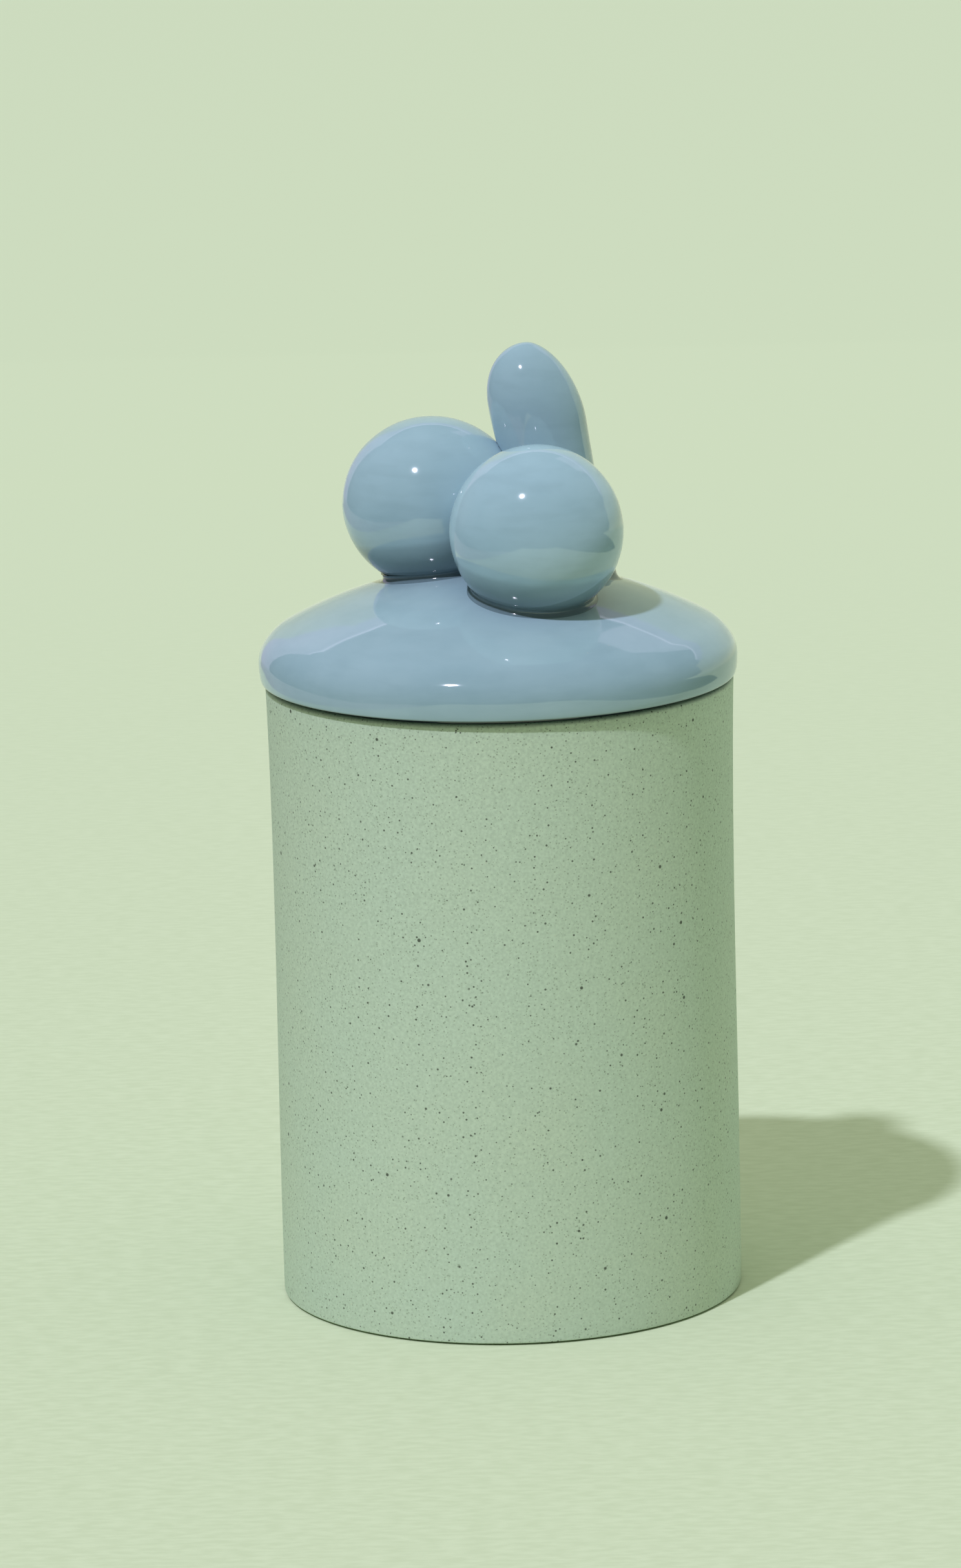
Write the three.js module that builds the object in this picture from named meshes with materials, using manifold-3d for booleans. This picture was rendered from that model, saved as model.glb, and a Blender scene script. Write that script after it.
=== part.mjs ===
// A lidded storage jar: a plain stoneware cylinder closed by a domed, glazed lid. The lid's
// handle is a cluster of two clay balls and one tall pebble, pressed together.
// Millimetres, +Z up, origin under the centre of the lid, on the table. The front faces -Y.

import * as THREE from 'three';
import { mergeVertices } from 'three/addons/utils/BufferGeometryUtils.js';
import Module from 'manifold-3d';

// Jar: the wall swells a little above the foot, narrows at mid height and opens at the mouth
const FOOT_RADIUS = 50;
const JAR_HEIGHT = 135;
const JAR_WALL = 5;
const JAR_FLOOR = 6.5;
const WALL_SWELL = 1.23;
const WALL_WAIST = 4.94;
const WALL_FLARE = 4.13;
const FOOT_ROUND = 0.4;
const FOOT_TUCK = 1;
const FOOT_RING_WIDTH = 7;
const FOOT_RECESS = 1.5;
const INNER_CORNER = 9;
const MOUTH_ROUND = 0.8;

// The loose lid lies a little to the front and left on the jar, so the jar stands off centre
const JAR_SHIFT = new THREE.Vector2(0.2, 1.05);

// Lid: a spherical dome, a tighter shoulder and a rolled rim that run into one another. A flat
// land sits on the mouth and holds the rim clear of it
const LID_OVERHANG = 1.1;
const LID_TUCK = 0.6;
const LAND_WIDTH = 4.2;
const RIM_GAP = 1;
const RIM_RISE = 3.75;
const ROLL_RADIUS = 7.1;
const ROLL_TOP = THREE.MathUtils.degToRad(34);
const SHOULDER_RADIUS = 11;
const DOME_RADIUS = 97.7;
const LID_WALL = 5;
const HOLLOW_FILLET = 4;
const FLANGE_DEPTH = 8;
const FLANGE_WALL = 4;
const FLANGE_EDGE = 1;
const FLANGE_CLEARANCE = 1.5;

// Handle: seen from above, the front ball has a place of its own. The left ball is pressed on
// it, and the pebble stands beside the left ball, each at its own bearing
const FRONT_RADIUS = 18.5;
const FRONT_SINK = 5.1;
const FRONT_PLACE = new THREE.Vector2(8.8, -19);
const LEFT_RADIUS = 19.6;
const LEFT_HALF_HEIGHT = 18.6;
const LEFT_SINK = 4.2;
const LEFT_BEARING = THREE.MathUtils.degToRad(129);
const LEFT_PRESS = 3.1;
const PEBBLE_HEIGHT = 45.7;
const PEBBLE_RADIUS = 10.8;
const PEBBLE_HALF_DEPTH = 9.5;
const PEBBLE_FOOT = 7;
const PEBBLE_WIDEST = 0.68;
const PEBBLE_CROWN = 0.57;
const PEBBLE_LEAN = new THREE.Vector2(-19.2, -3.6);
const PEBBLE_BOW = -2.5;
const PEBBLE_BEARING = THREE.MathUtils.degToRad(-1.3);
const PEBBLE_SPACING = 1.3;
const COLLAR_HEIGHT = 1.2;
const COLLAR_STEP = 0.3;
const COLLAR_WAIST = 1.6;
const COLLAR_FLARE = 0.3;
const COLLAR_EDGE = 0.4;

// Clearance between pieces that meet on curved or slanting faces
const SEAT_GAP = 0.3;

// Facets round each piece
const JAR_FACETS = 64;
const KNOB_FACETS = 32;

const UP = new THREE.Vector3(0, 0, 1);
const QUARTER = Math.PI / 2;

// Outside and inside radius of the jar's wall at a height
const wallRadius = (z) => {
  const t = z / JAR_HEIGHT;
  return FOOT_RADIUS + t * (WALL_SWELL - t * (WALL_WAIST - t * WALL_FLARE));
};
const boreRadius = (z) => wallRadius(z) - JAR_WALL;

const mouthRadius = wallRadius(JAR_HEIGHT);
const flangeOuter = boreRadius(JAR_HEIGHT - FLANGE_DEPTH) - FLANGE_CLEARANCE;
const flangeInner = flangeOuter - FLANGE_WALL;
const rimRadius = mouthRadius + LID_OVERHANG;
const rollX = rimRadius - ROLL_RADIUS;
const rollZ = RIM_GAP + RIM_RISE;

// Centre of the shoulder's round, so that the roll runs into the shoulder
const shoulderX = rollX - (SHOULDER_RADIUS - ROLL_RADIUS) * Math.cos(ROLL_TOP);
const shoulderZ = rollZ - (SHOULDER_RADIUS - ROLL_RADIUS) * Math.sin(ROLL_TOP);

// Height of the dome's centre from the lid's seat, so that the shoulder runs into the dome
const domeCentre = shoulderZ - Math.sqrt((DOME_RADIUS - SHOULDER_RADIUS) ** 2 - shoulderX ** 2);

// Points on an ellipse about (x, z), from one angle to another
const arc = (x, z, across, along, from, to, steps) => {
  const points = [];
  for (let i = 0; i <= steps; i += 1) {
    const angle = from + ((to - from) * i) / steps;
    const offset = across * Math.cos(angle);
    points.push(new THREE.Vector2(Math.abs(offset) < 1e-9 ? x : x + offset, z + along * Math.sin(angle)));
  }
  return points;
};

// Points on the jar's wall between two heights, without the two ends
const wallPoints = (radiusAt, from, to, steps) => {
  const points = [];
  for (let i = 1; i < steps; i += 1) {
    const z = from + ((to - from) * i) / steps;
    points.push(new THREE.Vector2(radiusAt(z), z));
  }
  return points;
};

const point = (x, z) => new THREE.Vector2(x, z);

// A profile of radius and height turned round the Z axis
const turned = (profile, facets) => new THREE.LatheGeometry(profile, facets).rotateX(QUARTER);

const jarGeometry = () => {
  const ringInner = FOOT_RADIUS - FOOT_TUCK - FOOT_RING_WIDTH;
  const mouthFloor = JAR_HEIGHT - MOUTH_ROUND;
  const bore = boreRadius(JAR_HEIGHT);
  const cornerTop = JAR_FLOOR + INNER_CORNER;
  const profile = [
    point(0, FOOT_RECESS),
    point(ringInner - FOOT_RECESS, FOOT_RECESS),
    point(ringInner, 0),
    ...arc(FOOT_RADIUS - FOOT_TUCK, FOOT_ROUND, FOOT_TUCK, FOOT_ROUND, -QUARTER, 0, 3),
    ...wallPoints(wallRadius, FOOT_ROUND, mouthFloor, 8),
    ...arc(mouthRadius - MOUTH_ROUND, mouthFloor, MOUTH_ROUND, MOUTH_ROUND, 0, QUARTER, 3),
    ...arc(bore + MOUTH_ROUND, mouthFloor, MOUTH_ROUND, MOUTH_ROUND, QUARTER, 2 * QUARTER, 3),
    ...wallPoints(boreRadius, mouthFloor, cornerTop, 5),
    ...arc(boreRadius(cornerTop) - INNER_CORNER, cornerTop, INNER_CORNER, INNER_CORNER, 0, -QUARTER, 4),
    point(0, JAR_FLOOR),
  ];
  return turned(profile, JAR_FACETS);
};

// The lid's profile, with heights from the seat on the mouth
const lidGeometry = () => {
  const hollow = DOME_RADIUS - LID_WALL;
  const filletX = flangeInner - HOLLOW_FILLET;
  const filletZ = domeCentre + Math.sqrt((hollow - HOLLOW_FILLET) ** 2 - filletX ** 2);
  const filletAngle = Math.atan2(filletZ - domeCentre, filletX);
  const domeAngle = Math.atan2(shoulderZ - domeCentre, shoulderX);
  const landRadius = flangeOuter + LAND_WIDTH;
  const profile = [
    ...arc(0, domeCentre, hollow, hollow, QUARTER, filletAngle, 5).slice(0, -1),
    ...arc(filletX, filletZ, HOLLOW_FILLET, HOLLOW_FILLET, filletAngle, 0, 3),
    point(flangeInner, 0),
    point(landRadius, 0),
    point(landRadius, RIM_GAP),
    ...arc(rimRadius - LID_TUCK, rollZ, LID_TUCK, RIM_RISE, -QUARTER, 0, 4).slice(0, -1),
    ...arc(rollX, rollZ, ROLL_RADIUS, ROLL_RADIUS, 0, ROLL_TOP, 4).slice(0, -1),
    ...arc(shoulderX, shoulderZ, SHOULDER_RADIUS, SHOULDER_RADIUS, ROLL_TOP, domeAngle, 3).slice(0, -1),
    ...arc(0, domeCentre, DOME_RADIUS, DOME_RADIUS, domeAngle, QUARTER, 7),
  ];
  return turned(profile, JAR_FACETS);
};

// A plain ring below the lid's land, with a small bevel on both lower edges
const flangeGeometry = () => {
  const lower = -FLANGE_DEPTH;
  const bevelTop = lower + FLANGE_EDGE;
  const start = point(flangeInner + FLANGE_EDGE, lower);
  const profile = [
    start,
    point(flangeOuter - FLANGE_EDGE, lower),
    point(flangeOuter, bevelTop),
    point(flangeOuter, 0),
    point(flangeInner, 0),
    point(flangeInner, bevelTop),
    start.clone(),
  ];
  return turned(profile, JAR_FACETS);
};

// A frame on the dome with its Z axis square to the surface. The place is where a piece's
// centre stands seen from above, and the rise is how far that centre is from the dome
const seatOnDome = (place, rise) => {
  const reach = DOME_RADIUS + rise;
  const height = Math.sqrt(reach ** 2 - place.lengthSq());
  const normal = new THREE.Vector3(place.x, place.y, height).divideScalar(reach);
  const seat = new THREE.Group();
  seat.quaternion.setFromUnitVectors(UP, normal);
  seat.position.copy(normal).multiplyScalar(DOME_RADIUS);
  seat.position.z += domeCentre;
  seat.updateMatrix();
  return seat;
};

// Radius of the flat on which a ball stands on its collar
const ballFlat = ({ radius, halfHeight, rise }) => {
  const drop = (rise - COLLAR_HEIGHT) / halfHeight;
  return radius * Math.sqrt(1 - drop ** 2);
};

const ballGeometry = ({ radius, halfHeight, rise }) => {
  const lowest = -Math.asin((rise - COLLAR_HEIGHT) / halfHeight);
  const profile = [point(0, COLLAR_HEIGHT), ...arc(0, rise, radius, halfHeight, lowest, QUARTER, 14)];
  return turned(profile, KNOB_FACETS);
};

// A ring of joining clay: its underside follows the dome and its side is hollowed
const collarGeometry = (flat) => {
  const underside = DOME_RADIUS + SEAT_GAP;
  const footRadius = flat + COLLAR_FLARE;
  const footAngle = Math.acos(footRadius / underside);
  const footTop = underside * Math.sin(footAngle) - DOME_RADIUS + COLLAR_EDGE;
  const top = COLLAR_HEIGHT - SEAT_GAP;
  const side = new THREE.QuadraticBezierCurve(
    point(footRadius, footTop),
    point(flat - COLLAR_WAIST, (footTop + top) / 2),
    point(flat - COLLAR_STEP, top),
  );
  const profile = [
    ...arc(0, -DOME_RADIUS, underside, underside, QUARTER, footAngle, 3),
    ...side.getPoints(4),
    point(0, top),
  ];
  return turned(profile, KNOB_FACETS);
};

// The pebble's radius at a share of its height: a slim foot, a wide upper part, a round crown
const pebbleRadius = (share) => {
  const fromWidest = share - PEBBLE_WIDEST;
  if (fromWidest < 0) {
    return PEBBLE_RADIUS - (PEBBLE_RADIUS - PEBBLE_FOOT) * (fromWidest / PEBBLE_WIDEST) ** 2;
  }
  const crown = Math.max(0, 1 - (fromWidest / (1 - PEBBLE_WIDEST)) ** 2);
  return PEBBLE_RADIUS * crown ** PEBBLE_CROWN;
};

// The pebble is turned upright, flattened from front to back, then leant and bowed
const pebbleGeometry = () => {
  const lowerSteps = 7;
  const crownSteps = 9;
  const profile = [point(0, COLLAR_HEIGHT)];
  for (let i = 0; i < lowerSteps; i += 1) {
    const share = (PEBBLE_WIDEST * i) / lowerSteps;
    profile.push(point(pebbleRadius(share), COLLAR_HEIGHT + PEBBLE_HEIGHT * share));
  }
  for (let i = 0; i <= crownSteps; i += 1) {
    const share = PEBBLE_WIDEST + (1 - PEBBLE_WIDEST) * Math.sin((QUARTER * i) / crownSteps);
    profile.push(point(pebbleRadius(share), COLLAR_HEIGHT + PEBBLE_HEIGHT * share));
  }
  const geometry = turned(profile, KNOB_FACETS);
  geometry.scale(1, PEBBLE_HALF_DEPTH / PEBBLE_RADIUS, 1);
  const position = geometry.attributes.position;
  for (let i = 0; i < position.count; i += 1) {
    const share = (position.getZ(i) - COLLAR_HEIGHT) / PEBBLE_HEIGHT;
    const bow = 4 * PEBBLE_BOW * share * (1 - share);
    position.setX(i, position.getX(i) + PEBBLE_LEAN.x * share + bow);
    position.setY(i, position.getY(i) + PEBBLE_LEAN.y * share);
  }
  return geometry;
};

const wasm = await Module();
wasm.setup();

// A closed geometry as a solid, with shared corners joined and flat triangles at poles left out
const toSolid = (geometry) => {
  const bare = geometry.clone();
  bare.deleteAttribute('normal');
  bare.deleteAttribute('uv');
  const merged = mergeVertices(bare);
  const index = merged.index.array;
  const triVerts = [];
  for (let i = 0; i < index.length; i += 3) {
    const [a, b, c] = [index[i], index[i + 1], index[i + 2]];
    if (a !== b && b !== c && c !== a) {
      triVerts.push(a, b, c);
    }
  }
  const mesh = new wasm.Mesh({
    numProp: 3,
    vertProperties: new Float32Array(merged.attributes.position.array),
    triVerts: new Uint32Array(triVerts),
  });
  return new wasm.Manifold(mesh);
};

const toGeometry = (solid) => {
  const mesh = solid.getMesh();
  const geometry = new THREE.BufferGeometry();
  geometry.setAttribute('position', new THREE.BufferAttribute(mesh.vertProperties, 3));
  geometry.setIndex(new THREE.BufferAttribute(mesh.triVerts, 1));
  geometry.computeVertexNormals();
  return geometry;
};

// A ball with the clearance all round, in another seat's frame
const ballClearance = (ball, frame) => {
  const radius = ball.radius + SEAT_GAP;
  const geometry = new THREE.SphereGeometry(radius, KNOB_FACETS, KNOB_FACETS / 2);
  geometry.scale(1, 1, (ball.halfHeight + SEAT_GAP) / radius);
  geometry.translate(0, 0, ball.rise);
  geometry.applyMatrix4(frame.matrix.clone().invert().multiply(ball.seat.matrix));
  return toSolid(geometry);
};

const glaze = () => new THREE.MeshStandardMaterial({ color: 0x86a6b1, roughness: 0.12, metalness: 0 });
const stoneware = () => new THREE.MeshStandardMaterial({ color: 0xa6baa0, roughness: 0.75, metalness: 0 });

const piece = (name, geometry, material) => {
  const mesh = new THREE.Mesh(geometry, material);
  mesh.name = name;
  return mesh;
};

// Places of the three handle pieces, seen from above
const leftDistance = FRONT_RADIUS + LEFT_RADIUS - LEFT_PRESS;
const leftPlace = new THREE.Vector2(Math.cos(LEFT_BEARING), Math.sin(LEFT_BEARING))
  .multiplyScalar(leftDistance)
  .add(FRONT_PLACE);
const pebbleDistance = LEFT_RADIUS + PEBBLE_RADIUS + PEBBLE_SPACING;
const pebblePlace = new THREE.Vector2(Math.cos(PEBBLE_BEARING), Math.sin(PEBBLE_BEARING))
  .multiplyScalar(pebbleDistance)
  .add(leftPlace);

const ballOnDome = (place, radius, halfHeight, sink) => {
  const rise = halfHeight - sink;
  return { seat: seatOnDome(place, rise), radius, halfHeight, rise };
};

const frontBall = ballOnDome(FRONT_PLACE, FRONT_RADIUS, FRONT_RADIUS, FRONT_SINK);
frontBall.seat.add(
  piece('front_ball', ballGeometry(frontBall), glaze()),
  piece('front_collar', collarGeometry(ballFlat(frontBall)), glaze()),
);

// The left ball is dented where it presses on the front ball
const leftBall = ballOnDome(leftPlace, LEFT_RADIUS, LEFT_HALF_HEIGHT, LEFT_SINK);
const leftSolid = toSolid(ballGeometry(leftBall)).subtract(ballClearance(frontBall, leftBall.seat));
leftBall.seat.add(
  piece('left_ball', toGeometry(leftSolid), glaze()),
  piece('left_collar', collarGeometry(ballFlat(leftBall)), glaze()),
);

// The pebble is dented where it presses on a ball
const pebbleSeat = seatOnDome(pebblePlace, 0);
const pebbleSolid = toSolid(pebbleGeometry())
  .subtract(ballClearance(leftBall, pebbleSeat))
  .subtract(ballClearance(frontBall, pebbleSeat));
pebbleSeat.add(
  piece('pebble', toGeometry(pebbleSolid), glaze()),
  piece('pebble_collar', collarGeometry(PEBBLE_FOOT), glaze()),
);

const lid = new THREE.Group();
lid.position.z = JAR_HEIGHT;
lid.add(
  piece('lid_dome', lidGeometry(), glaze()),
  piece('lid_flange', flangeGeometry(), stoneware()),
  leftBall.seat,
  frontBall.seat,
  pebbleSeat,
);

const body = piece('jar_body', jarGeometry(), stoneware());
body.position.set(JAR_SHIFT.x, JAR_SHIFT.y, 0);

const jar = new THREE.Group();
jar.add(body, lid);

export default jar;
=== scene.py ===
# Looks of a lidded stoneware jar. Fine meshes stand for the CAD pieces, from the same sizes, with
# speckled clay and glossy glaze, on a paper floor with the photograph's camera and light.
# The part's sizes are in millimetres and become metres where a mesh is made. The stage and the patterns
# of the materials are in metres.

import math
from collections import namedtuple

import bmesh
import bpy
from mathutils import Matrix, Vector, noise


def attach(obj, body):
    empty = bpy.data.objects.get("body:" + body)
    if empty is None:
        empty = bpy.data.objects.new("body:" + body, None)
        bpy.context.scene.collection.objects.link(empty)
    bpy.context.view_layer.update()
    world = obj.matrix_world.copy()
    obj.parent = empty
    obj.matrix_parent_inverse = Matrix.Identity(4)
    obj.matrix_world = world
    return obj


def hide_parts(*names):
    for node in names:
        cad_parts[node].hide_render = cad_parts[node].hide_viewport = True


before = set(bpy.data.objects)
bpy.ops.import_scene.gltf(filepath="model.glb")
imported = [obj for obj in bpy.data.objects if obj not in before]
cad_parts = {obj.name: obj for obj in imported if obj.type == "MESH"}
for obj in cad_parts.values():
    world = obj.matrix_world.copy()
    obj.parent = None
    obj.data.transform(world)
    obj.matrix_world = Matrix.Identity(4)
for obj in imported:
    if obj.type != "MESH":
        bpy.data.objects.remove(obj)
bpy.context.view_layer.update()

MM = 0.001
UP = Vector((0, 0, 1))
QUARTER = math.pi / 2

# Jar
FOOT_RADIUS = 50
JAR_HEIGHT = 135
JAR_WALL = 5
JAR_FLOOR = 6.5
WALL_SWELL = 1.23
WALL_WAIST = 4.94
WALL_FLARE = 4.13
FOOT_TUCK = 1
FOOT_EASE = 3
FOOT_GAP = 0.4
FOOT_LIP = 0.3
FOOT_RING_WIDTH = 7
FOOT_RECESS = 1.5
INNER_CORNER = 9
MOUTH_ROUND = 0.8
JAR_SHIFT = Vector((0.2, 1.05, 0))

# Lid
LID_OVERHANG = 1.1
LID_TUCK = 0.6
LAND_WIDTH = 4.2
RIM_GAP = 1
RIM_RISE = 3.75
ROLL_RADIUS = 7.1
ROLL_TOP = math.radians(34)
SHOULDER_RADIUS = 11
DOME_RADIUS = 97.7
LID_WALL = 5
HOLLOW_FILLET = 4
FLANGE_DEPTH = 8
FLANGE_WALL = 4
FLANGE_EDGE = 1
FLANGE_CLEARANCE = 1.5

# Handle
FRONT_RADIUS = 18.5
FRONT_SINK = 5.1
FRONT_PLACE = Vector((8.8, -19))
LEFT_RADIUS = 19.6
LEFT_HALF_HEIGHT = 18.6
LEFT_SINK = 4.2
LEFT_BEARING = math.radians(129)
LEFT_PRESS = 3.1
LEFT_TILT = math.radians(7.5)
PEBBLE_HEIGHT = 45.7
PEBBLE_RADIUS = 10.8
PEBBLE_HALF_DEPTH = 9.5
PEBBLE_FOOT = 7
PEBBLE_WIDEST = 0.68
PEBBLE_CROWN = 0.57
PEBBLE_LEAN = Vector((-19.2, -3.6))
PEBBLE_BOW = -2.5
PEBBLE_BEARING = math.radians(-1.3)
PEBBLE_SPACING = 1.3
COLLAR_HEIGHT = 1.2
BALL_FILLET = 1.0
COLLAR_ROOT = 2.2
PEBBLE_FLARE = 2.2
PEBBLE_ROOT = 1
BURIED = 1.5
DENT_GAP = 0.05
HAND_WOBBLE = 0.12
WOBBLE_PITCH = 0.09

# Fineness of the meshes
JAR_FACETS = 192
KNOB_FACETS = 160
KNOB_ROWS = 96
EDGE_STEPS = 8
ROUND_STEPS = 16
BORE_STEPS = 32
LONG_STEPS = 48
FLANGE_STEPS = 6
FLARE_STEPS = 12
SHARP_ANGLE = math.radians(40)

# A ring under this radius is one point, and mesh points within this distance in metres become one
POLE_RADIUS = 1e-6
MERGE_DISTANCE = 1e-7


def wall_radius(z):
    """Outside radius of the jar's wall at a height."""
    share = z / JAR_HEIGHT
    return FOOT_RADIUS + share * (WALL_SWELL - share * (WALL_WAIST - share * WALL_FLARE))


def bore_radius(z):
    """Inside radius of the jar's wall at a height."""
    return wall_radius(z) - JAR_WALL


MOUTH_RADIUS = wall_radius(JAR_HEIGHT)
FLANGE_OUTER = bore_radius(JAR_HEIGHT - FLANGE_DEPTH) - FLANGE_CLEARANCE
FLANGE_INNER = FLANGE_OUTER - FLANGE_WALL
RIM_RADIUS = MOUTH_RADIUS + LID_OVERHANG
ROLL_X = RIM_RADIUS - ROLL_RADIUS
ROLL_Z = RIM_GAP + RIM_RISE

# Centre of the shoulder's round, so that the roll runs into the shoulder
SHOULDER_X = ROLL_X - (SHOULDER_RADIUS - ROLL_RADIUS) * math.cos(ROLL_TOP)
SHOULDER_Z = ROLL_Z - (SHOULDER_RADIUS - ROLL_RADIUS) * math.sin(ROLL_TOP)

# Height of the dome's centre above the lid's seat, so that the shoulder runs into the dome
DOME_CENTRE = SHOULDER_Z - math.sqrt((DOME_RADIUS - SHOULDER_RADIUS) ** 2 - SHOULDER_X**2)


def oval_arc(x, z, across, along, start, end, steps):
    """Points of radius and height on an ellipse about (x, z), from one angle to another."""
    angles = [start + (end - start) * i / steps for i in range(steps + 1)]
    return [(x + across * math.cos(angle), z + along * math.sin(angle)) for angle in angles]


def arc(x, z, radius, start, end, steps):
    """Points of radius and height on a circle about (x, z), from one angle to another."""
    return oval_arc(x, z, radius, radius, start, end, steps)


def wall_points(radius_at, start, end, steps):
    """Points on the jar's wall between two heights, without the two ends."""
    heights = [start + (end - start) * i / steps for i in range(1, steps)]
    return [(radius_at(z), z) for z in heights]


def skin(rings, facets):
    """Faces between rings that follow one another, where a ring of one point is a pole."""
    faces = []
    for lower, upper in zip(rings, rings[1:]):
        for i in range(facets):
            j = (i + 1) % facets
            corners = [lower[i % len(lower)], lower[j % len(lower)]]
            corners += [upper[j % len(upper)], upper[i % len(upper)]]
            faces.append(list(dict.fromkeys(corners)))
    return faces


def turned(profile, facets, seat):
    """Points and faces of a profile of radius and height, turned round a seat's Z axis."""
    points = []
    rings = []
    for radius, height in profile:
        count = 1 if radius < POLE_RADIUS else facets
        rings.append(range(len(points), len(points) + count))
        for i in range(count):
            angle = 2 * math.pi * i / facets
            points.append(seat @ Vector((radius * math.cos(angle), radius * math.sin(angle), height)))
    return points, skin(rings, facets)


def new_object(name, data):
    """An object in the scene."""
    thing = bpy.data.objects.new(name, data)
    bpy.context.scene.collection.objects.link(thing)
    return thing


def make_piece(node, form, material, body):
    """A smooth mesh that stands for a CAD node and rides on its body."""
    points, faces = form
    mesh = bpy.data.meshes.new(node + "_fine")
    mesh.from_pydata([point * MM for point in points], [], faces)
    shape = bmesh.new()
    shape.from_mesh(mesh)
    bmesh.ops.remove_doubles(shape, verts=shape.verts, dist=MERGE_DISTANCE)
    bmesh.ops.recalc_face_normals(shape, faces=shape.faces)
    shape.to_mesh(mesh)
    shape.free()
    mesh.shade_smooth()
    mesh.set_sharp_from_angle(angle=SHARP_ANGLE)
    mesh.materials.append(material)
    piece = new_object(node + "_fine", mesh)
    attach(piece, body)
    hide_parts(node)


def jar_form():
    """The jar: foot ring, an outer edge just clear of the table, wall, mouth, bore and floor."""
    ring_inner = FOOT_RADIUS - FOOT_TUCK - FOOT_RING_WIDTH
    lip_top = FOOT_GAP + FOOT_LIP
    mouth_floor = JAR_HEIGHT - MOUTH_ROUND
    mouth_outer = MOUTH_RADIUS - MOUTH_ROUND
    mouth_inner = bore_radius(JAR_HEIGHT) + MOUTH_ROUND
    corner_top = JAR_FLOOR + INNER_CORNER
    corner_centre = bore_radius(corner_top) - INNER_CORNER
    profile = [(0, FOOT_RECESS), (ring_inner - FOOT_RECESS, FOOT_RECESS)]
    profile += [(ring_inner, 0), (FOOT_RADIUS - FOOT_EASE, 0)]
    profile += arc(FOOT_RADIUS - FOOT_LIP, lip_top, FOOT_LIP, -QUARTER, 0, EDGE_STEPS)
    profile += wall_points(wall_radius, lip_top, mouth_floor, LONG_STEPS)
    profile += arc(mouth_outer, mouth_floor, MOUTH_ROUND, 0, QUARTER, EDGE_STEPS)
    profile += arc(mouth_inner, mouth_floor, MOUTH_ROUND, QUARTER, 2 * QUARTER, EDGE_STEPS)
    profile += wall_points(bore_radius, mouth_floor, corner_top, BORE_STEPS)
    profile += arc(corner_centre, corner_top, INNER_CORNER, 0, -QUARTER, ROUND_STEPS)
    profile.append((0, JAR_FLOOR))
    return turned(profile, JAR_FACETS, Matrix.Translation(JAR_SHIFT))


LID_SEAT = Matrix.Translation((0, 0, JAR_HEIGHT))


def lid_form():
    """The lid: a hollow underside, a flat land, a rim that is clear of the mouth, and the dome."""
    hollow = DOME_RADIUS - LID_WALL
    fillet_x = FLANGE_INNER - HOLLOW_FILLET
    fillet_z = DOME_CENTRE + math.sqrt((hollow - HOLLOW_FILLET) ** 2 - fillet_x**2)
    fillet_angle = math.atan2(fillet_z - DOME_CENTRE, fillet_x)
    dome_angle = math.atan2(SHOULDER_Z - DOME_CENTRE, SHOULDER_X)
    land = FLANGE_OUTER + LAND_WIDTH
    profile = arc(0, DOME_CENTRE, hollow, QUARTER, fillet_angle, ROUND_STEPS)
    profile += arc(fillet_x, fillet_z, HOLLOW_FILLET, fillet_angle, 0, EDGE_STEPS)
    profile += [(FLANGE_INNER, 0), (land, 0), (land, RIM_GAP)]
    profile += oval_arc(RIM_RADIUS - LID_TUCK, ROLL_Z, LID_TUCK, RIM_RISE, -QUARTER, 0, ROUND_STEPS)
    profile += arc(ROLL_X, ROLL_Z, ROLL_RADIUS, 0, ROLL_TOP, ROUND_STEPS)
    profile += arc(SHOULDER_X, SHOULDER_Z, SHOULDER_RADIUS, ROLL_TOP, dome_angle, ROUND_STEPS)
    profile += arc(0, DOME_CENTRE, DOME_RADIUS, dome_angle, QUARTER, LONG_STEPS)
    return turned(profile, JAR_FACETS, LID_SEAT)


def flange_form():
    """The ring below the lid's land, with a round on both lower edges."""
    low = FLANGE_EDGE - FLANGE_DEPTH
    inner = FLANGE_INNER + FLANGE_EDGE
    outer = FLANGE_OUTER - FLANGE_EDGE
    profile = arc(inner, low, FLANGE_EDGE, 2 * QUARTER, 3 * QUARTER, FLANGE_STEPS)
    profile += arc(outer, low, FLANGE_EDGE, -QUARTER, 0, FLANGE_STEPS)
    profile += [(FLANGE_OUTER, 0), (FLANGE_INNER, 0), profile[0]]
    return turned(profile, JAR_FACETS, LID_SEAT)


def seat_on_dome(place, rise):
    """A frame on the dome with its Z axis square to the surface, under a centre at that rise."""
    reach = DOME_RADIUS + rise
    height = math.sqrt(reach**2 - place.length_squared)
    normal = Vector((place.x, place.y, height)) / reach
    origin = normal * DOME_RADIUS + Vector((0, 0, JAR_HEIGHT + DOME_CENTRE))
    turn = UP.rotation_difference(normal).to_matrix().to_4x4()
    return Matrix.Translation(origin) @ turn


class Ball:
    """A clay ball that stands on the dome: its seat, its rise and its shape as a stretched sphere."""

    def __init__(self, place, radius, half_height, sink, tilt):
        self.rise = half_height - sink
        self.radius = radius
        self.half_height = half_height
        self.seat = seat_on_dome(place, self.rise)
        centre = self.seat @ Vector((0, 0, self.rise))
        self.frame = Matrix.Translation(centre) @ Matrix.Rotation(tilt, 4, "Y")

    def shape(self, gap=0):
        """The matrix that makes the ball, grown by a gap, from a sphere of radius 1."""
        across = self.radius + gap
        return self.frame @ Matrix.Diagonal((across, across, self.half_height + gap, 1))


def from_bearing(bearing, distance):
    """A step along a bearing, seen from above."""
    return Vector((math.cos(bearing), math.sin(bearing))) * distance


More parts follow.
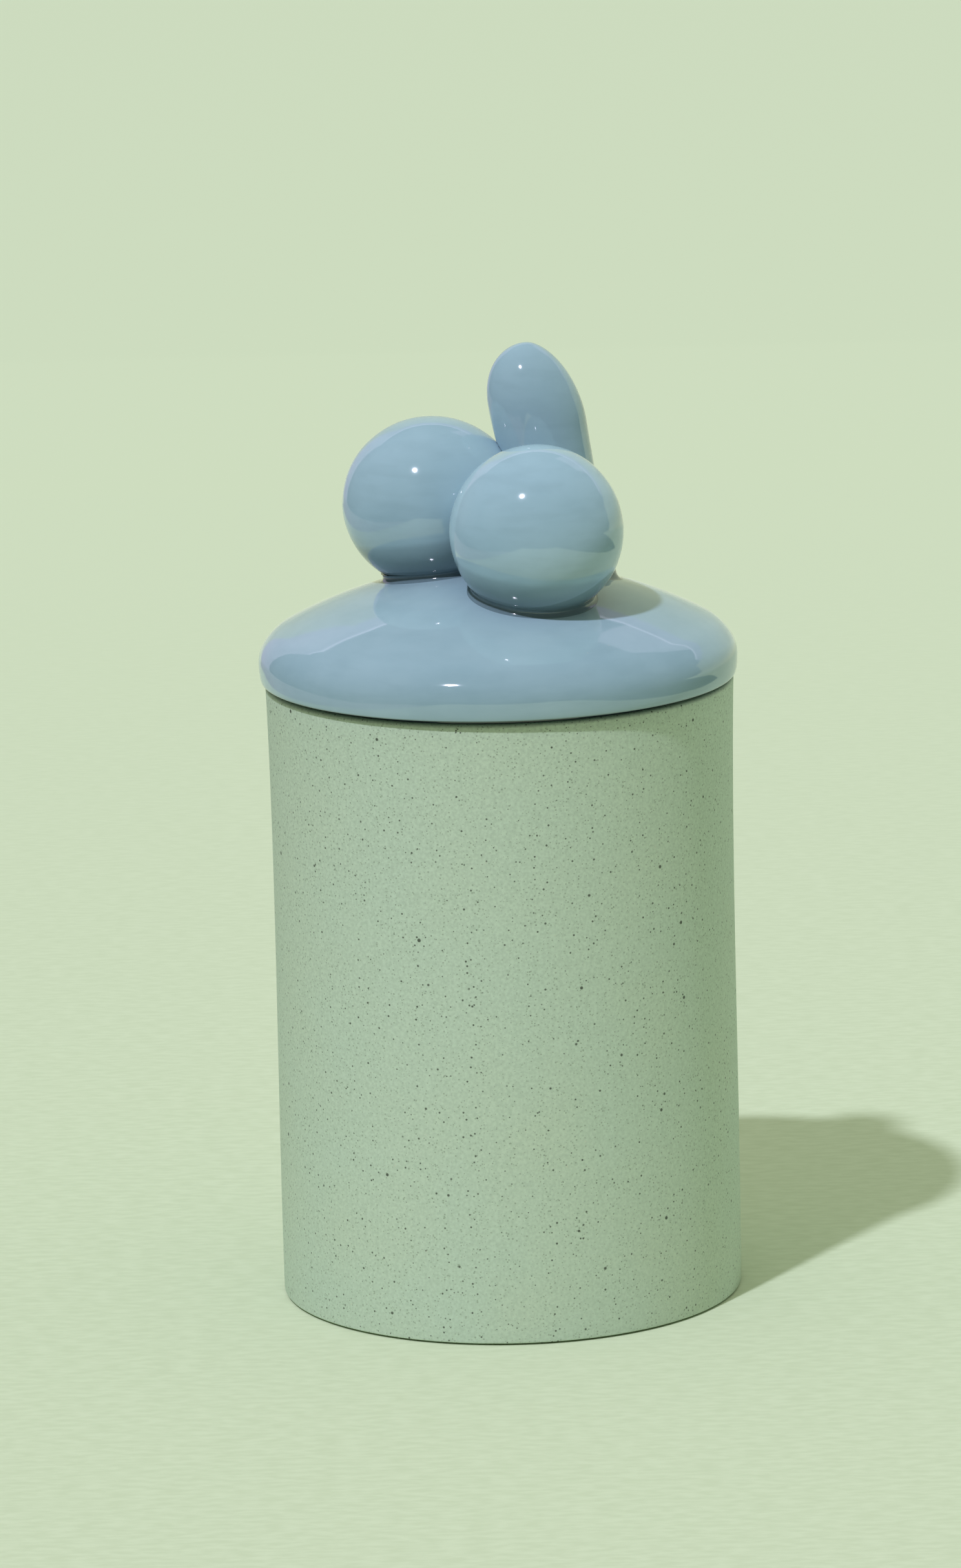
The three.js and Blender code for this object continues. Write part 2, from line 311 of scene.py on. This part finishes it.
LEFT_PLACE = FRONT_PLACE + from_bearing(LEFT_BEARING, FRONT_RADIUS + LEFT_RADIUS - LEFT_PRESS)
PEBBLE_PLACE = LEFT_PLACE + from_bearing(PEBBLE_BEARING, LEFT_RADIUS + PEBBLE_RADIUS + PEBBLE_SPACING)
FRONT_BALL = Ball(FRONT_PLACE, FRONT_RADIUS, FRONT_RADIUS, FRONT_SINK, tilt=0)
LEFT_BALL = Ball(LEFT_PLACE, LEFT_RADIUS, LEFT_HALF_HEIGHT, LEFT_SINK, tilt=LEFT_TILT)


def dented(root, tip, balls):
    """The tip of a ray, drawn back to where the ray from its root first meets a ball."""
    share = 1
    for ball in balls:
        unit = ball.shape(DENT_GAP).inverted()
        start = unit @ root
        ray = unit @ tip - start
        along = start.dot(ray)
        spread = along**2 - ray.length_squared * (start.length_squared - 1)
        if spread > 0:
            meeting = (-along - math.sqrt(spread)) / ray.length_squared
            if 0 < meeting < share:
                share = meeting
    return root.lerp(tip, share)


def hand_shaped(point, centre):
    """A point moved a little in or out, as on clay that was rolled by hand."""
    outward = (point - centre).normalized()
    return point + outward * HAND_WOBBLE * noise.noise(point * WOBBLE_PITCH)


def ball_form(ball, neighbours):
    """A ball, dented by its neighbours and cut flat below the dome's surface."""
    shape = ball.shape()
    centre = shape.translation
    to_seat = ball.seat.inverted()
    points = []
    rings = []
    for row in range(KNOB_ROWS + 1):
        polar = math.pi * row / KNOB_ROWS
        flat = math.sin(polar)
        count = 1 if row in (0, KNOB_ROWS) else KNOB_FACETS
        rings.append(range(len(points), len(points) + count))
        for i in range(count):
            angle = 2 * math.pi * i / KNOB_FACETS
            tip = shape @ Vector((flat * math.cos(angle), flat * math.sin(angle), math.cos(polar)))
            tip = hand_shaped(tip, centre)
            depth = (to_seat @ tip).z
            if depth < -BURIED:
                tip = centre.lerp(tip, (ball.rise + BURIED) / (ball.rise - depth))
            points.append(dented(centre, tip, neighbours))
    return points, skin(rings, KNOB_FACETS)


def collar_form(ball):
    """A ring of joining clay, with a hollow side that is tangent to the ball and to the dome."""
    radius = (ball.radius + ball.half_height) / 2
    fillet_reach = radius + BALL_FILLET
    dome_reach = DOME_RADIUS + BALL_FILLET
    squares = dome_reach**2 - fillet_reach**2 - DOME_RADIUS**2 + ball.rise**2
    centre_z = squares / (2 * (DOME_RADIUS + ball.rise))
    centre_x = math.sqrt(fillet_reach**2 - (centre_z - ball.rise) ** 2)
    to_ball = math.atan2(ball.rise - centre_z, -centre_x)
    to_dome = math.atan2(-DOME_RADIUS - centre_z, -centre_x) + 2 * math.pi
    profile = arc(centre_x, centre_z, BALL_FILLET, to_ball, to_dome, ROUND_STEPS)
    inner = (centre_x - COLLAR_ROOT, -COLLAR_HEIGHT / 2)
    profile += [inner, profile[0]]
    return turned(profile, KNOB_FACETS, ball.seat)


def pebble_radius(share):
    """The pebble's radius at a share of its height: a slim foot, a wide upper part, a round crown."""
    from_widest = share - PEBBLE_WIDEST
    if from_widest < 0:
        return PEBBLE_RADIUS - (PEBBLE_RADIUS - PEBBLE_FOOT) * (from_widest / PEBBLE_WIDEST) ** 2
    crown = max(0, 1 - (from_widest / (1 - PEBBLE_WIDEST)) ** 2)
    return PEBBLE_RADIUS * crown**PEBBLE_CROWN


PEBBLE_SEAT = seat_on_dome(PEBBLE_PLACE, 0)


def pebble_form(neighbours):
    """The pebble: rings of its own radius about a leaning, bowed axis, dented by the balls."""
    steps = [i / LONG_STEPS for i in range(LONG_STEPS + 1)]
    lower = [PEBBLE_WIDEST * step for step in steps[:-1]]
    crown = [PEBBLE_WIDEST + (1 - PEBBLE_WIDEST) * math.sin(QUARTER * step) for step in steps]
    levels = [(-BURIED, 0, 0), (-BURIED, 0, PEBBLE_FOOT)]
    for share in lower + crown:
        levels.append((COLLAR_HEIGHT + PEBBLE_HEIGHT * share, share, pebble_radius(share)))
    points = []
    rings = []
    for height, share, radius in levels:
        bow = 4 * PEBBLE_BOW * share * (1 - share)
        axis = Vector((PEBBLE_LEAN.x * share + bow, PEBBLE_LEAN.y * share, height))
        root = PEBBLE_SEAT @ axis
        count = 1 if radius < POLE_RADIUS else KNOB_FACETS
        rings.append(range(len(points), len(points) + count))
        for i in range(count):
            angle = 2 * math.pi * i / KNOB_FACETS
            across = radius * math.cos(angle)
            deep = radius * math.sin(angle) * PEBBLE_HALF_DEPTH / PEBBLE_RADIUS
            tip = PEBBLE_SEAT @ (axis + Vector((across, deep, 0)))
            points.append(dented(root, tip, neighbours))
    return points, skin(rings, KNOB_FACETS)


def pebble_collar_form():
    """The ring of joining clay below the pebble, hollowed like the balls' collars."""
    foot = PEBBLE_FOOT + PEBBLE_FLARE
    dome_drop = DOME_RADIUS - math.sqrt(DOME_RADIUS**2 - foot**2)
    height = PEBBLE_FLARE + COLLAR_HEIGHT
    top = height - dome_drop
    root = PEBBLE_FOOT - PEBBLE_ROOT
    profile = oval_arc(foot, top, PEBBLE_FLARE, height, 2 * QUARTER, 3 * QUARTER, FLARE_STEPS)
    profile += [(root, -BURIED), (root, height), profile[0]]
    return turned(profile, KNOB_FACETS, PEBBLE_SEAT)


def add(tree, kind, inputs, **settings):
    """A node with its settings, and its inputs as values or as other nodes' outputs."""
    node = tree.nodes.new("ShaderNode" + kind)
    for name, value in settings.items():
        setattr(node, name, value)
    for name, value in inputs.items():
        socket = node.inputs[name]
        if isinstance(value, bpy.types.NodeSocket):
            tree.links.new(value, socket)
        else:
            socket.default_value = value
    return node


def mixed(tree, share, first, second):
    """A colour between two colours, which are the node's inputs 6 and 7 and its output 2."""
    return add(tree, "Mix", {0: share, 6: first, 7: second}, data_type="RGBA").outputs[2]


def cloud(tree, place, size, detail=2.0):
    """Soft noise from 0 to 1, with patches of about a size in metres."""
    node = add(tree, "TexNoise", {"Vector": place, "Scale": 1 / size, "Detail": detail})
    return node.outputs["Fac"]


# The span that most of the noise lies in
NOISE_SPAN = (0.3, 0.7)


def ramp(tree, value, low, high, start=0.0, end=1.0):
    """A value carried from one range to another and kept inside it."""
    inputs = {"Value": value, "From Min": low, "From Max": high, "To Min": start, "To Max": end}
    return add(tree, "MapRange", inputs).outputs["Result"]


def combined(tree, operation, first, second):
    """Two values made into one by an operation."""
    return add(tree, "Math", {0: first, 1: second}, operation=operation).outputs["Value"]


def stretched(tree, place, factors):
    """A place with its axes scaled, which draws noise out along an axis with a small factor."""
    return add(tree, "VectorMath", {0: place, 1: factors}, operation="MULTIPLY").outputs["Vector"]


def coordinate(tree, place, name):
    """One coordinate of a place or a direction."""
    return add(tree, "SeparateXYZ", {"Vector": place}).outputs[name]


# One kind of speck: its spacing and largest radius in metres, the share of places that has one, how
# strongly it covers what is below it, and its colour
Specks = namedtuple("Specks", ["spacing", "radius", "share", "strength", "colour"])

# The smallest speck and the soft edge, as shares of the largest speck's radius
SPECK_SMALLEST = 0.5
SPECK_SOFTNESS = 0.35


def specked(tree, place, colour, specks):
    """A colour with round specks of one kind on it, at random places and of random sizes."""
    cells = add(tree, "TexVoronoi", {"Vector": place, "Scale": 1 / specks.spacing})
    chances = add(tree, "SeparateColor", {"Color": cells.outputs["Color"]})
    chosen = combined(tree, "LESS_THAN", chances.outputs["Red"], specks.share)
    largest = specks.radius / specks.spacing
    edge = ramp(tree, chances.outputs["Green"], 0, 1, SPECK_SMALLEST * largest, largest)
    nearness = combined(tree, "SUBTRACT", edge, cells.outputs["Distance"])
    disc = ramp(tree, nearness, 0, SPECK_SOFTNESS * largest)
    mask = combined(tree, "MULTIPLY", disc, chosen)
    cover = combined(tree, "MULTIPLY", mask, specks.strength)
    return mixed(tree, cover, colour, specks.colour)


def new_material(name):
    """A material with an empty node tree, and the place of a point on the piece in metres."""
    material = bpy.data.materials.new(name)
    material.use_nodes = True
    tree = material.node_tree
    tree.nodes.clear()
    place = add(tree, "TexCoord", {}).outputs["Object"]
    return material, tree, place


def finish_material(tree, inputs):
    """The surface shader and the output."""
    shader = add(tree, "BsdfPrincipled", inputs)
    output = add(tree, "OutputMaterial", {"Surface": shader.outputs["BSDF"]})
    output.is_active_output = True


SAGE_COOL = (0.560, 0.700, 0.555, 1)
SAGE_WARM = (0.580, 0.700, 0.534, 1)
# Painted light: the paler colour that the clay turns to towards the mouth
SAGE_PAINTED_LIGHT = (0.690, 0.850, 0.650, 1)
SAGE_GRAIN = (0.420, 0.535, 0.405, 1)
SPECK_DARK = (0.07, 0.09, 0.06, 1)
SPECK_FAINT = (0.24, 0.31, 0.21, 1)
SPECK_PALE = (0.62, 0.68, 0.52, 1)
SHADE_SIZE = 0.03
PAINTED_LIGHT_SHARE = 0.5
GRAIN_SIZE = 0.0006
GRAIN_DEPTH = 0.00008
GRAIN_BUMP = 0.6
CLAY_ROUGHNESS = (0.55, 0.7)

# Marks of the grain: two levels of its noise, and how much of the mark shows at each
GRAIN_MARKS = (0.35, 0.75, 0, 0.6)

CLAY_SPECKS = [
    Specks(spacing=0.0007, radius=0.00024, share=0.90, strength=0.60, colour=SPECK_FAINT),
    Specks(spacing=0.0015, radius=0.00029, share=0.95, strength=0.90, colour=SPECK_DARK),
    Specks(spacing=0.0045, radius=0.00050, share=0.60, strength=0.95, colour=SPECK_DARK),
    Specks(spacing=0.0050, radius=0.00034, share=0.50, strength=0.70, colour=SPECK_PALE),
]


def stoneware():
    """Matt sage clay, painted paler towards the mouth to even out the light, with a fine grain and
    faint, dark and pale specks.
    """
    material, tree, place = new_material("stoneware")
    grain = cloud(tree, place, GRAIN_SIZE, detail=3.0)
    shades = ramp(tree, cloud(tree, place, SHADE_SIZE), *NOISE_SPAN)
    colour = mixed(tree, shades, SAGE_COOL, SAGE_WARM)
    # Painted light: the clay turns paler towards the mouth, against the light that the floor throws on
    # the lower wall
    painted_lightness = ramp(tree, coordinate(tree, place, "Z"), 0, JAR_HEIGHT * MM, 0, PAINTED_LIGHT_SHARE)
    colour = mixed(tree, painted_lightness, colour, SAGE_PAINTED_LIGHT)
    colour = mixed(tree, ramp(tree, grain, *GRAIN_MARKS), colour, SAGE_GRAIN)
    for specks in CLAY_SPECKS:
        colour = specked(tree, place, colour, specks)
    bump = add(tree, "Bump", {"Height": grain, "Distance": GRAIN_DEPTH, "Strength": GRAIN_BUMP})
    inputs = {
        "Base Color": colour,
        "Roughness": ramp(tree, grain, *NOISE_SPAN, *CLAY_ROUGHNESS),
        "Normal": bump.outputs["Normal"],
    }
    finish_material(tree, inputs)
    return material


GLAZE_DEEP = Vector((0.325, 0.490, 0.562))
GLAZE_PALE = Vector((0.380, 0.545, 0.617))
GLAZE_STREAK = (0.24, 0.38, 0.44, 1)
# The dark of glaze that pools and of painted shade, at the dome and under the rim
GLAZE_POOL_AND_SHADE = (0.03, 0.06, 0.07, 1)
GLAZE_PINHOLE = (0.45, 0.55, 0.58, 1)
GLAZE_IOR = 1.76
CLOUD_SIZE = 0.02
CLOUD_ROUGHNESS = 1.3
STREAK_SIZE = 0.009
STREAK_STRETCH = (1, 1, 4)
WAVE_SIZE = 0.012
WAVE_DEPTH = 0.0003
WAVE_BUMP = 0.35
PINHOLES = Specks(spacing=0.0045, radius=0.0003, share=0.4, strength=0.6, colour=GLAZE_PINHOLE)

# Streaks: two levels of their noise, and how much of the streak shows at each
STREAK_MARKS = (0.45, 0.7, 0, 0.14)

# Dark glaze: glaze that pools, with painted shade, down at the dome under the balls and the pebble, and
# painted shade below the rim's edge. Heights in metres above the dome or the rim's edge, and how much
# of it shows at each
POOL_SHADE_BAND = (0.0085, 0.0097, 0.16, 0)
POOL_SHADE_NECK = (0.0015, 0.0100, 0.56, 0)
SHADE_RIM_HEIGHT = 0.0003
SHADE_RIM_SHARE = 0.8


def pooled_and_shaded_at_dome(tree, place, colour):
    """A colour that darkens down to the dome, as under the balls and the pebble: glaze that pools
    there, and painted shade under the balls and in their necks.
    """
    dome_centre = (0, 0, (JAR_HEIGHT + DOME_CENTRE) * MM)
    reach = add(tree, "VectorMath", {0: place, 1: dome_centre}, operation="DISTANCE").outputs["Value"]
    rise = combined(tree, "SUBTRACT", reach, DOME_RADIUS * MM)
    colour = mixed(tree, ramp(tree, rise, *POOL_SHADE_BAND), colour, GLAZE_POOL_AND_SHADE)
    return mixed(tree, ramp(tree, rise, *POOL_SHADE_NECK), colour, GLAZE_POOL_AND_SHADE)


def shaded_under_rim(tree, place, colour):
    """Painted shade: a colour that is dark on the lid's underside, below the edge of its rim, where the
    gap under the lid is in shade.
    """
    edge = (JAR_HEIGHT + RIM_GAP) * MM
    painted_shade = ramp(tree, coordinate(tree, place, "Z"), edge, edge + SHADE_RIM_HEIGHT, SHADE_RIM_SHARE, 0)
    return mixed(tree, painted_shade, colour, GLAZE_POOL_AND_SHADE)


def glaze(name, painted_light_factor, roughness, pool_and_shade):
    """Glossy blue-grey glaze with soft clouds, level streaks and pinholes, made lighter or darker as
    painted light for each piece, and darkened where glaze pools and where shade is painted.
    """
    material, tree, place = new_material(name)
    clouds = ramp(tree, cloud(tree, place, CLOUD_SIZE, detail=4.0), *NOISE_SPAN)
    # Painted light: the factor makes each piece's copy of the glaze lighter or darker, to even out how
    # the pieces are lit
    colour = mixed(tree, clouds, (*(GLAZE_DEEP * painted_light_factor), 1), (*(GLAZE_PALE * painted_light_factor), 1))
    streaks = cloud(tree, stretched(tree, place, STREAK_STRETCH), STREAK_SIZE, detail=4.0)
    colour = mixed(tree, ramp(tree, streaks, *STREAK_MARKS), colour, GLAZE_STREAK)
    colour = specked(tree, place, colour, PINHOLES)
    # Dark glaze where it pools, and painted shade, near the dome or under the rim
    colour = pool_and_shade(tree, place, colour)
    swell = cloud(tree, place, WAVE_SIZE, detail=1.0)
    waves = add(tree, "Bump", {"Height": swell, "Distance": WAVE_DEPTH, "Strength": WAVE_BUMP})
    inputs = {
        "Base Color": colour,
        "Roughness": ramp(tree, clouds, 0, 1, roughness, CLOUD_ROUGHNESS * roughness),
        "IOR": GLAZE_IOR,
        "Diffuse Roughness": 0.5,
        "Normal": waves.outputs["Normal"],
    }
    finish_material(tree, inputs)
    return material


PAPER_GREEN = (0.635, 0.725, 0.525, 1)
PAPER_FIBRE = (0.588, 0.678, 0.478, 1)
PAPER_FAR = (0.632, 0.722, 0.522, 1)
PAPER_GLOW = (0.80, 0.60, 0.20, 1)
FIBRE_STRETCH = (0.35, 1, 1)
FIBRE_SIZE = 0.0018
FIBRE_SPAN = (0.35, 0.65)
FADE_START = 0.1
FADE_END = 0.9


def paper(name, glow):
    """Pale green paper with faint fibres along X, which fade towards the back."""
    material, tree, place = new_material(name)
    laid = stretched(tree, place, FIBRE_STRETCH)
    fibres = ramp(tree, cloud(tree, laid, FIBRE_SIZE), *FIBRE_SPAN)
    colour = mixed(tree, fibres, PAPER_FIBRE, PAPER_GREEN)
    fade = ramp(tree, coordinate(tree, place, "Y"), FADE_START, FADE_END)
    inputs = {
        "Base Color": mixed(tree, fade, colour, PAPER_FAR),
        "Roughness": 0.9,
        "Specular IOR Level": 0.1,
        "Emission Color": PAPER_GLOW,
        "Emission Strength": glow,
    }
    finish_material(tree, inputs)
    return material


LAVENDER_DEEP = (0.68, 0.63, 0.82, 1)
LAVENDER_PALE = (0.76, 0.70, 0.90, 1)
LAVENDER_CLOUD = 0.4


def lavender_paint(name, glow):
    """Pale lavender paint, which may be lit by lamps of its own."""
    material, tree, place = new_material(name)
    colour = mixed(tree, cloud(tree, place, LAVENDER_CLOUD), LAVENDER_DEEP, LAVENDER_PALE)
    inputs = {
        "Base Color": colour,
        "Roughness": 0.8,
        "Emission Color": colour,
        "Emission Strength": glow,
    }
    finish_material(tree, inputs)
    return material


# The stage, in metres: a sheet of paper under the jar, which sweeps up behind it, and a lavender floor
# and wall past its edges, which the glaze mirrors. The camera sees only the sheet and a wide floor of
# the same paper round it, so no view is hidden
SHEET_LEFT = -0.36
SHEET_RIGHT = 0.45
SHEET_FRONT = -0.9
SHEET_STEP = 0.36
SHEET_BACK = 1.0
SWEEP_LEFT = -0.45
SWEEP_RIGHT = 3.0
SWEEP_RADIUS = 0.25
SWEEP_TOP = 1.0
WALL_LEFT = -1.04
WALL_RIGHT = 2.2
WALL_DEPTH = 1.3
WALL_TOP = 1.22
TRIM_HEIGHT = 0.04
PANEL_LEFT = 0.5
PANEL_RIGHT = 1.3
PANEL_TOP = 1.9
STUDIO_FRONT = -0.5
STUDIO_FRONT_LEFT = -0.45
FLOOR_REACH = 12.0
SWEEP_GLOW = 0.15
WALL_GLOW = 0.1
TRIM_GLOW = 1.0


def make_stage(name, points, faces, material):
    """A sheet that stands round the part and is no piece of it."""
    mesh = bpy.data.meshes.new(name)
    mesh.from_pydata(points, [], faces)
    mesh.shade_smooth()
    mesh.materials.append(material)
    sheet = new_object(name, mesh)
    return sheet


def make_level(name, left, right, front, back, material):
    """A level rectangle of floor."""
    corners = [(left, front, 0), (right, front, 0), (right, back, 0), (left, back, 0)]
    return make_stage(name, corners, [(0, 1, 2, 3)], material)


def make_floor(material):
    """The sheet under the jar, wider at the back, and the floor round it, for the camera alone."""
    make_level("sheet_front", SHEET_LEFT, SHEET_RIGHT, SHEET_FRONT, SHEET_STEP, material)
    make_level("sheet_back", SHEET_LEFT, SWEEP_RIGHT, SHEET_STEP, SHEET_BACK, material)
    surround = {
        "floor_left": (-FLOOR_REACH, SHEET_LEFT, -FLOOR_REACH, FLOOR_REACH),
        "floor_front": (SHEET_LEFT, FLOOR_REACH, -FLOOR_REACH, SHEET_FRONT),
        "floor_right": (SHEET_RIGHT, FLOOR_REACH, SHEET_FRONT, SHEET_STEP),
        "floor_far_right": (SWEEP_RIGHT, FLOOR_REACH, SHEET_STEP, SHEET_BACK),
        "floor_back": (SHEET_LEFT, FLOOR_REACH, SHEET_BACK, FLOOR_REACH),
    }
    for name, sides in surround.items():
        level = make_level(name, *sides, material)
        level.visible_glossy = False
        level.visible_diffuse = False


def glaze_only(sheet):
    """Leaves a sheet to the glaze: it shows in reflections and does nothing else."""
    sheet.visible_camera = False
    sheet.visible_diffuse = False
    sheet.visible_shadow = False


def make_upright(name, left, right, line, material):
    """An upright sheet over a line of depth and height, for the glaze alone."""
    points = [(side, y, z) for y, z in line for side in (left, right)]
    faces = [(2 * i, 2 * i + 1, 2 * i + 3, 2 * i + 2) for i in range(len(line) - 1)]
    glaze_only(make_stage(name, points, faces, material))


def make_backdrop(material):
    """The paper that sweeps up behind the jar, with lavender past its edges."""
    bend = arc(SHEET_BACK, SWEEP_RADIUS, SWEEP_RADIUS, -QUARTER, 0, ROUND_STEPS)
    top = [(SHEET_BACK + SWEEP_RADIUS, SWEEP_TOP)]
    make_upright("sweep", SWEEP_LEFT, SWEEP_RIGHT, bend + top, material)
    wall = [(WALL_DEPTH, 0), (WALL_DEPTH, WALL_TOP)]
    trim = [(WALL_DEPTH, WALL_TOP), (WALL_DEPTH, WALL_TOP + TRIM_HEIGHT)]
    panel = [(WALL_DEPTH, WALL_TOP + TRIM_HEIGHT), (WALL_DEPTH, PANEL_TOP)]
    make_upright("wall", WALL_LEFT, WALL_RIGHT, wall, lavender_paint("wall_paint", WALL_GLOW))
    make_upright("wall_trim", WALL_LEFT, WALL_RIGHT, trim, lavender_paint("trim_paint", TRIM_GLOW))
    make_upright("panel", PANEL_LEFT, PANEL_RIGHT, panel, lavender_paint("panel_paint", WALL_GLOW))
    studio = [(STUDIO_FRONT_LEFT, STUDIO_FRONT, 0), (SHEET_LEFT, STUDIO_FRONT, 0)]
    studio += [(SHEET_LEFT, WALL_DEPTH, 0), (WALL_LEFT, WALL_DEPTH, 0)]
    floor_paint = lavender_paint("floor_paint", glow=0)
    glaze_only(make_stage("studio_floor", studio, [(0, 1, 2, 3)], floor_paint))


# The lamp: the direction towards it, its strength, its colour and the angle that it fills
KEY_DIRECTION = Vector((-0.305, -0.50, 0.81))
KEY_STRENGTH = 2.1
KEY_COLOUR = (0.83, 0.82, 1.0)
KEY_ANGLE = math.radians(2.4)


def make_key():
    """A small hard lamp, high and to the left of the camera."""
    lamp = bpy.data.lights.new("key", "SUN")
    lamp.energy = KEY_STRENGTH
    lamp.color = KEY_COLOUR
    lamp.angle = KEY_ANGLE
    key = new_object("key", lamp)
    key.rotation_mode = "QUATERNION"
    key.rotation_quaternion = KEY_DIRECTION.to_track_quat("Z", "Y")


# The soft light: the direction of its back, and where it turns from the front's colour to the back's
FILL_FROM = (0.35, 0.94, 0)
FILL_START = -0.4
FILL_END = 0.9
FILL_FRONT = (0.06, 0.06, 0.04, 1)
FILL_BACK = (0.34, 0.46, 0.41, 1)
FILL_TOP = (0.91, 0.92, 0.755, 1)
ROOM_COLOUR = (0.05, 0.06, 0.08, 1)


def make_world():
    """Soft light, most from above and the back. The glaze sees a dim room, and the camera paper."""
    world = bpy.data.worlds.new("studio")
    world.use_nodes = True
    tree = world.node_tree
    tree.nodes.clear()
    path = add(tree, "LightPath", {})
    direction = add(tree, "TexCoord", {}).outputs["Generated"]
    facing = add(tree, "VectorMath", {0: direction, 1: FILL_FROM}, operation="DOT_PRODUCT")
    backness = ramp(tree, facing.outputs["Value"], FILL_START, FILL_END)
    height = coordinate(tree, direction, "Z")
    fill = mixed(tree, backness, FILL_FRONT, FILL_BACK)
    fill = mixed(tree, combined(tree, "MULTIPLY", height, height), fill, FILL_TOP)
    colour = mixed(tree, path.outputs["Is Glossy Ray"], fill, ROOM_COLOUR)
    colour = mixed(tree, path.outputs["Is Camera Ray"], colour, PAPER_GREEN)
    background = add(tree, "Background", {"Color": colour, "Strength": 1.0})
    add(tree, "OutputWorld", {"Surface": background.outputs["Background"]})
    bpy.context.scene.world = world


# The photograph's camera: its frame and focal length in pixels, its place in millimetres and its three
# turns in radians
FRAME_HEIGHT = 2427
SENSOR_HEIGHT = 36
FOCAL_PIXELS = 12015
CAMERA_PLACE = Vector((0.2, -1637.96, 466.25))
CAMERA_YAW = -0.0028
CAMERA_PITCH = 0.2131
CAMERA_ROLL = -0.0234


def make_camera():
    """The camera, with its lens set by the height of the frame."""
    data = bpy.data.cameras.new("camera")
    data.sensor_fit = "VERTICAL"
    data.sensor_height = SENSOR_HEIGHT
    data.lens = FOCAL_PIXELS * SENSOR_HEIGHT / FRAME_HEIGHT
    aim = Matrix.Rotation(-CAMERA_YAW, 4, "Z") @ Matrix.Rotation(QUARTER - CAMERA_PITCH, 4, "X")
    aim = aim @ Matrix.Rotation(CAMERA_ROLL, 4, "Z")
    camera = new_object("camera", data)
    camera.matrix_world = Matrix.Translation(CAMERA_PLACE * MM) @ aim
    bpy.context.scene.camera = camera


# Pieces
clay = stoneware()
# Copies of one glaze, each with its own factor of painted light and its own painted shade
lid_gloss = glaze("lid_glaze", painted_light_factor=1.04, roughness=0.05, pool_and_shade=shaded_under_rim)
front_gloss = glaze("front_glaze", painted_light_factor=1.21, roughness=0.06, pool_and_shade=pooled_and_shaded_at_dome)
left_gloss = glaze("left_glaze", painted_light_factor=1.15, roughness=0.06, pool_and_shade=pooled_and_shaded_at_dome)
pebble_gloss = glaze("pebble_glaze", painted_light_factor=1.12, roughness=0.06, pool_and_shade=pooled_and_shaded_at_dome)
make_piece("jar_body", jar_form(), clay, "jar")
make_piece("lid_dome", lid_form(), lid_gloss, "lid")
make_piece("lid_flange", flange_form(), clay, "lid")
make_piece("front_ball", ball_form(FRONT_BALL, []), front_gloss, "lid")
make_piece("front_collar", collar_form(FRONT_BALL), front_gloss, "lid")
make_piece("left_ball", ball_form(LEFT_BALL, [FRONT_BALL]), left_gloss, "lid")
make_piece("left_collar", collar_form(LEFT_BALL), left_gloss, "lid")
make_piece("pebble", pebble_form([FRONT_BALL, LEFT_BALL]), pebble_gloss, "lid")
make_piece("pebble_collar", pebble_collar_form(), pebble_gloss, "lid")

# Stage, light and camera
make_floor(paper("floor_paper", glow=0))
make_backdrop(paper("sweep_paper", SWEEP_GLOW))
make_key()
make_world()
make_camera()
bpy.context.scene.view_settings.view_transform = "Standard"
